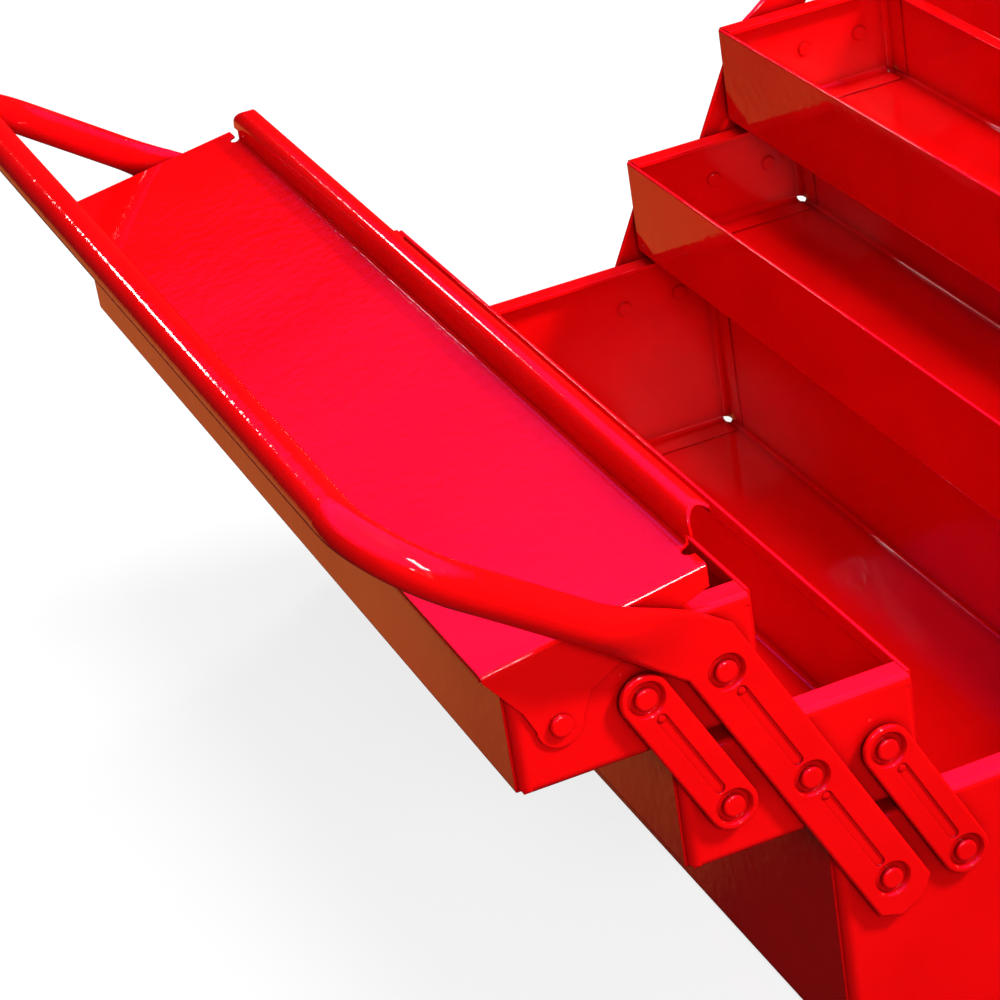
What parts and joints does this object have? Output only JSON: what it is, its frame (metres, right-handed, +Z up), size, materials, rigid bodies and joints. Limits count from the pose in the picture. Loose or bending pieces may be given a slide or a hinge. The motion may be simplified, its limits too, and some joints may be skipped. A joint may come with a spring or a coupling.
{
  "type": "cantilever tool box",
  "caption": "Red sheet-steel cantilever tool box whose stacked trays spread to both sides on riveted straps, with hinged lids and tubular handles.",
  "frame": {"origin": "middle of the base tray's underside", "axes": "+X along the box towards the near end, +Y across it towards the right wing, +Z up"},
  "size_m": [0.562, 0.5353, 0.2907],
  "materials": {
    "tray_paint": "gloss",
    "lid_paint": "gloss",
    "handle_paint": "gloss",
    "link_paint": "gloss",
    "rivet_paint": "gloss"
  },
  "bodies": {
    "base": {"base_trough": "tray_paint", "base_near_end_wall": "tray_paint", "base_far_end_wall": "tray_paint", "base_rivets": "rivet_paint"},
    "left_handle_arm": {"left_handle": "handle_paint"},
    "left_middle_tray": {"left_middle_trough": "tray_paint", "left_middle_near_end_wall": "tray_paint", "left_middle_far_end_wall": "tray_paint", "left_middle_rivets": "rivet_paint"},
    "left_upper_tray": {"left_upper_trough": "tray_paint", "left_upper_near_end_wall": "tray_paint", "left_upper_far_end_wall": "tray_paint", "left_upper_rivets": "rivet_paint", "left_lid_rivets": "rivet_paint"},
    "left_lower_links": {"left_lower_link_near": "link_paint", "left_lower_link_far": "link_paint"},
    "left_upper_links": {"left_upper_link_near": "link_paint", "left_upper_link_far": "link_paint"},
    "left_lid_panel": {"left_lid": "lid_paint"},
    "right_handle_arm": {"right_handle": "handle_paint"},
    "right_middle_tray": {"right_middle_trough": "tray_paint", "right_middle_near_end_wall": "tray_paint", "right_middle_far_end_wall": "tray_paint", "right_middle_rivets": "rivet_paint"},
    "right_upper_tray": {"right_upper_trough": "tray_paint", "right_upper_near_end_wall": "tray_paint", "right_upper_far_end_wall": "tray_paint", "right_upper_rivets": "rivet_paint", "right_lid_rivets": "rivet_paint"},
    "right_lower_links": {"right_lower_link_near": "link_paint", "right_lower_link_far": "link_paint"},
    "right_upper_links": {"right_upper_link_near": "link_paint", "right_upper_link_far": "link_paint"},
    "right_lid_panel": {"right_lid": "lid_paint"}
  },
  "joints": [
    {"name": "left_wing_fold", "type": "hinge", "parent": "base", "child": "left_handle_arm", "pos_m": [0, -0.08156, 0.0812], "axis": [-1, 0, 0], "range_deg": [0, 57.09]},
    {"name": "left_middle_tray_level", "type": "hinge", "parent": "left_handle_arm", "child": "left_middle_tray", "pos_m": [0, -0.109, 0.13624], "axis": [-1, 0, 0], "range_deg": [-57.09, 0]},
    {"name": "left_upper_tray_level", "type": "hinge", "parent": "left_handle_arm", "child": "left_upper_tray", "pos_m": [0, -0.13644, 0.19128], "axis": [-1, 0, 0], "range_deg": [-57.09, 0]},
    {"name": "left_lower_links_swing", "type": "hinge", "parent": "base", "child": "left_lower_links", "pos_m": [0, -0.05026, 0.0812], "axis": [-1, 0, 0], "range_deg": [0, 57.09]},
    {"name": "left_upper_links_swing", "type": "hinge", "parent": "left_middle_tray", "child": "left_upper_links", "pos_m": [0, -0.1403, 0.13624], "axis": [-1, 0, 0], "range_deg": [0, 57.09]},
    {"name": "left_lid_swing", "type": "hinge", "parent": "left_upper_tray", "child": "left_lid_panel", "pos_m": [0, -0.19904, 0.19128], "axis": [1, 0, 0], "range_deg": [0, 102]},
    {"name": "right_wing_fold", "type": "hinge", "parent": "base", "child": "right_handle_arm", "pos_m": [0, 0.08156, 0.0812], "axis": [1, 0, 0], "range_deg": [0, 57.09]},
    {"name": "right_middle_tray_level", "type": "hinge", "parent": "right_handle_arm", "child": "right_middle_tray", "pos_m": [0, 0.109, 0.13624], "axis": [1, 0, 0], "range_deg": [-57.09, 0]},
    {"name": "right_upper_tray_level", "type": "hinge", "parent": "right_handle_arm", "child": "right_upper_tray", "pos_m": [0, 0.13644, 0.19128], "axis": [1, 0, 0], "range_deg": [-57.09, 0]},
    {"name": "right_lower_links_swing", "type": "hinge", "parent": "base", "child": "right_lower_links", "pos_m": [0, 0.05026, 0.0812], "axis": [1, 0, 0], "range_deg": [0, 57.09]},
    {"name": "right_upper_links_swing", "type": "hinge", "parent": "right_middle_tray", "child": "right_upper_links", "pos_m": [0, 0.1403, 0.13624], "axis": [1, 0, 0], "range_deg": [0, 57.09]},
    {"name": "right_lid_swing", "type": "hinge", "parent": "right_upper_tray", "child": "right_lid_panel", "pos_m": [0, 0.19904, 0.19128], "axis": [1, 0, 0], "range_deg": [0, 102]}
  ],
  "couplings": [
    {"joint": "left_middle_tray_level", "follows": "left_wing_fold", "ratio": -1},
    {"joint": "left_upper_tray_level", "follows": "left_wing_fold", "ratio": -1},
    {"joint": "left_lower_links_swing", "follows": "left_wing_fold", "ratio": 1},
    {"joint": "left_upper_links_swing", "follows": "left_wing_fold", "ratio": 1},
    {"joint": "right_middle_tray_level", "follows": "right_wing_fold", "ratio": -1},
    {"joint": "right_upper_tray_level", "follows": "right_wing_fold", "ratio": -1},
    {"joint": "right_lower_links_swing", "follows": "right_wing_fold", "ratio": 1},
    {"joint": "right_upper_links_swing", "follows": "right_wing_fold", "ratio": 1}
  ]
}
